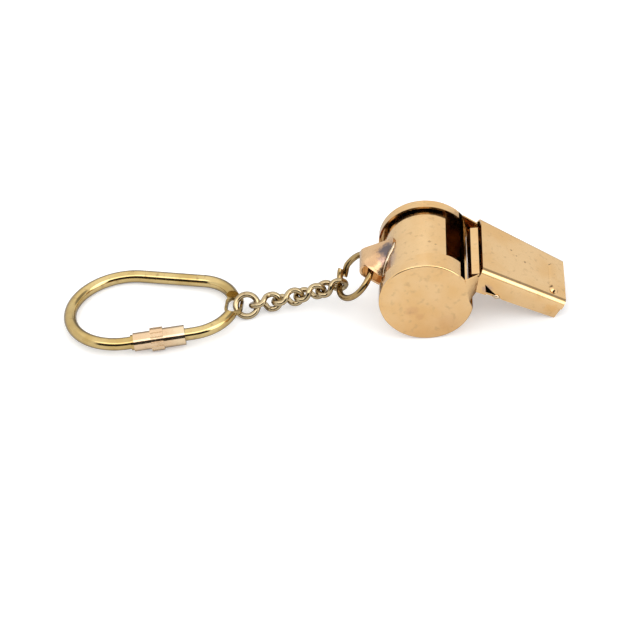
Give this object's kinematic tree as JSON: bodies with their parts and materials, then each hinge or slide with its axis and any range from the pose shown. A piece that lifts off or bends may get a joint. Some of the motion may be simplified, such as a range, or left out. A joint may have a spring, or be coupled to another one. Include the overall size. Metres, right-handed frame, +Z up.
{
  "type": "pea whistle with key chain",
  "caption": "Short brass pea whistle with round end plates and a flat mouthpiece, on a jump ring, a twisted curb chain and a pear-shaped screw-lock carabiner.",
  "frame": {"origin": "on the table under the middle of the whole object as it lies laid out", "axes": "+X from the carabiner to the whistle's lip, +Y from the whistle's front end plate to its rear one, +Z up"},
  "size_m": [0.1198, 0.0304, 0.022],
  "materials": {
    "sheet_brass": "polished, light wear",
    "soldered_brass": "polished, tarnished by soldering heat",
    "wire_brass": "polished wire",
    "chain_brass": "polished wire, darker in the recesses",
    "carabiner_brass": "polished wire",
    "sleeve_brass": "turned, satin",
    "cork": "cork"
  },
  "bodies": {
    "whistle": {"side_plate_front": "sheet_brass", "side_plate_rear": "sheet_brass", "barrel_wrap": "sheet_brass", "mouthpiece_top": "sheet_brass", "mouthpiece_floor": "sheet_brass", "windway_plate": "sheet_brass", "hanger_bracket": "soldered_brass"},
    "pea": {"cork_pea": "cork"},
    "ring": {"jump_ring": "wire_brass"},
    "link_4": {"curb_link_4": "chain_brass"},
    "link_3": {"curb_link_3": "chain_brass"},
    "link_2": {"curb_link_2": "chain_brass"},
    "link_1": {"curb_link_1": "chain_brass"},
    "end_link": {"end_link": "chain_brass"},
    "carabiner": {"carabiner_wire": "carabiner_brass"},
    "sleeve": {"screw_sleeve": "sleeve_brass"}
  },
  "joints": [
    {"name": "pea_orbit", "type": "hinge", "parent": "whistle", "child": "pea", "pos_m": [0.02762, -0.0029, 0.011], "axis": [0, 1, 0], "continuous": true},
    {"name": "ring_swing", "type": "hinge", "parent": "whistle", "child": "ring", "pos_m": [0.01504, -0.0017, 0.01322], "axis": [0, 1, 0], "range_deg": [-45, 60]},
    {"name": "link_4_swing", "type": "hinge", "parent": "ring", "child": "link_4", "pos_m": [0.00673, -0.00015, 0.0058], "axis": [0.099, 0.9494, 0.298], "range_deg": [-30, 40]},
    {"name": "link_3_turn", "type": "hinge", "parent": "link_4", "child": "link_3", "pos_m": [0.00298, -0.00038, 0.0049], "axis": [0.1882, 0.0465, -0.981], "range_deg": [-40, 40]},
    {"name": "link_2_swing", "type": "hinge", "parent": "link_3", "child": "link_2", "pos_m": [-0.00378, -0.0008, 0.00359], "axis": [0.0677, -0.9971, -0.0343], "range_deg": [-40, 35]},
    {"name": "link_1_turn", "type": "hinge", "parent": "link_2", "child": "link_1", "pos_m": [-0.00768, -0.00103, 0.00304], "axis": [0.1059, -0.4945, -0.8627], "range_deg": [-35, 40]},
    {"name": "end_link_swing", "type": "hinge", "parent": "link_1", "child": "end_link", "pos_m": [-0.01454, -0.00145, 0.00244], "axis": [0.0094, -0.8671, 0.4981], "range_deg": [-30, 30]},
    {"name": "clip_turn", "type": "hinge", "parent": "end_link", "child": "carabiner", "pos_m": [-0.01825, -0.00152, 0.00273], "axis": [-0.0156, 0.0509, 0.9986], "range_deg": [-16, 8]},
    {"name": "sleeve_slide", "type": "slide", "parent": "carabiner", "child": "sleeve", "axis": [0.9939, 0.1094, 0.01], "range_m": [0, 0.0044]}
  ]
}
